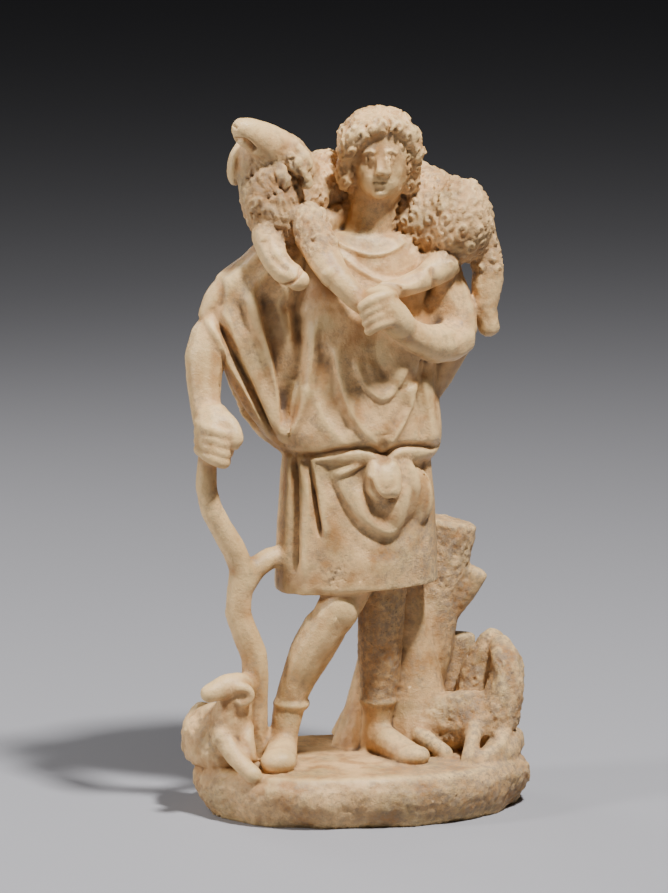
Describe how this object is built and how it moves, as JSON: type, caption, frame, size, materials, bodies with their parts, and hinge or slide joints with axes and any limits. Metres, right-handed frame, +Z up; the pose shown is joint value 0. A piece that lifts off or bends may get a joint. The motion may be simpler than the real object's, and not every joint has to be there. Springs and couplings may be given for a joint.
{
  "type": "marble statuette",
  "caption": "Marble statuette of a standing herdsman with a sheep across the shoulders, carved in one with its plinth, branch, stump and lying animals.",
  "frame": {"origin": "middle of the plinth's flat underside", "axes": "+Z up along the figure's height, -Y towards the viewer, +X to the viewer's right"},
  "size_m": [0.2462, 0.1509, 0.4933],
  "materials": {
    "marble": "weathered, with traces of polish, rust-brown patina in the hollows"
  },
  "bodies": {
    "root": {"statuette": "marble"}
  },
  "joints": []
}
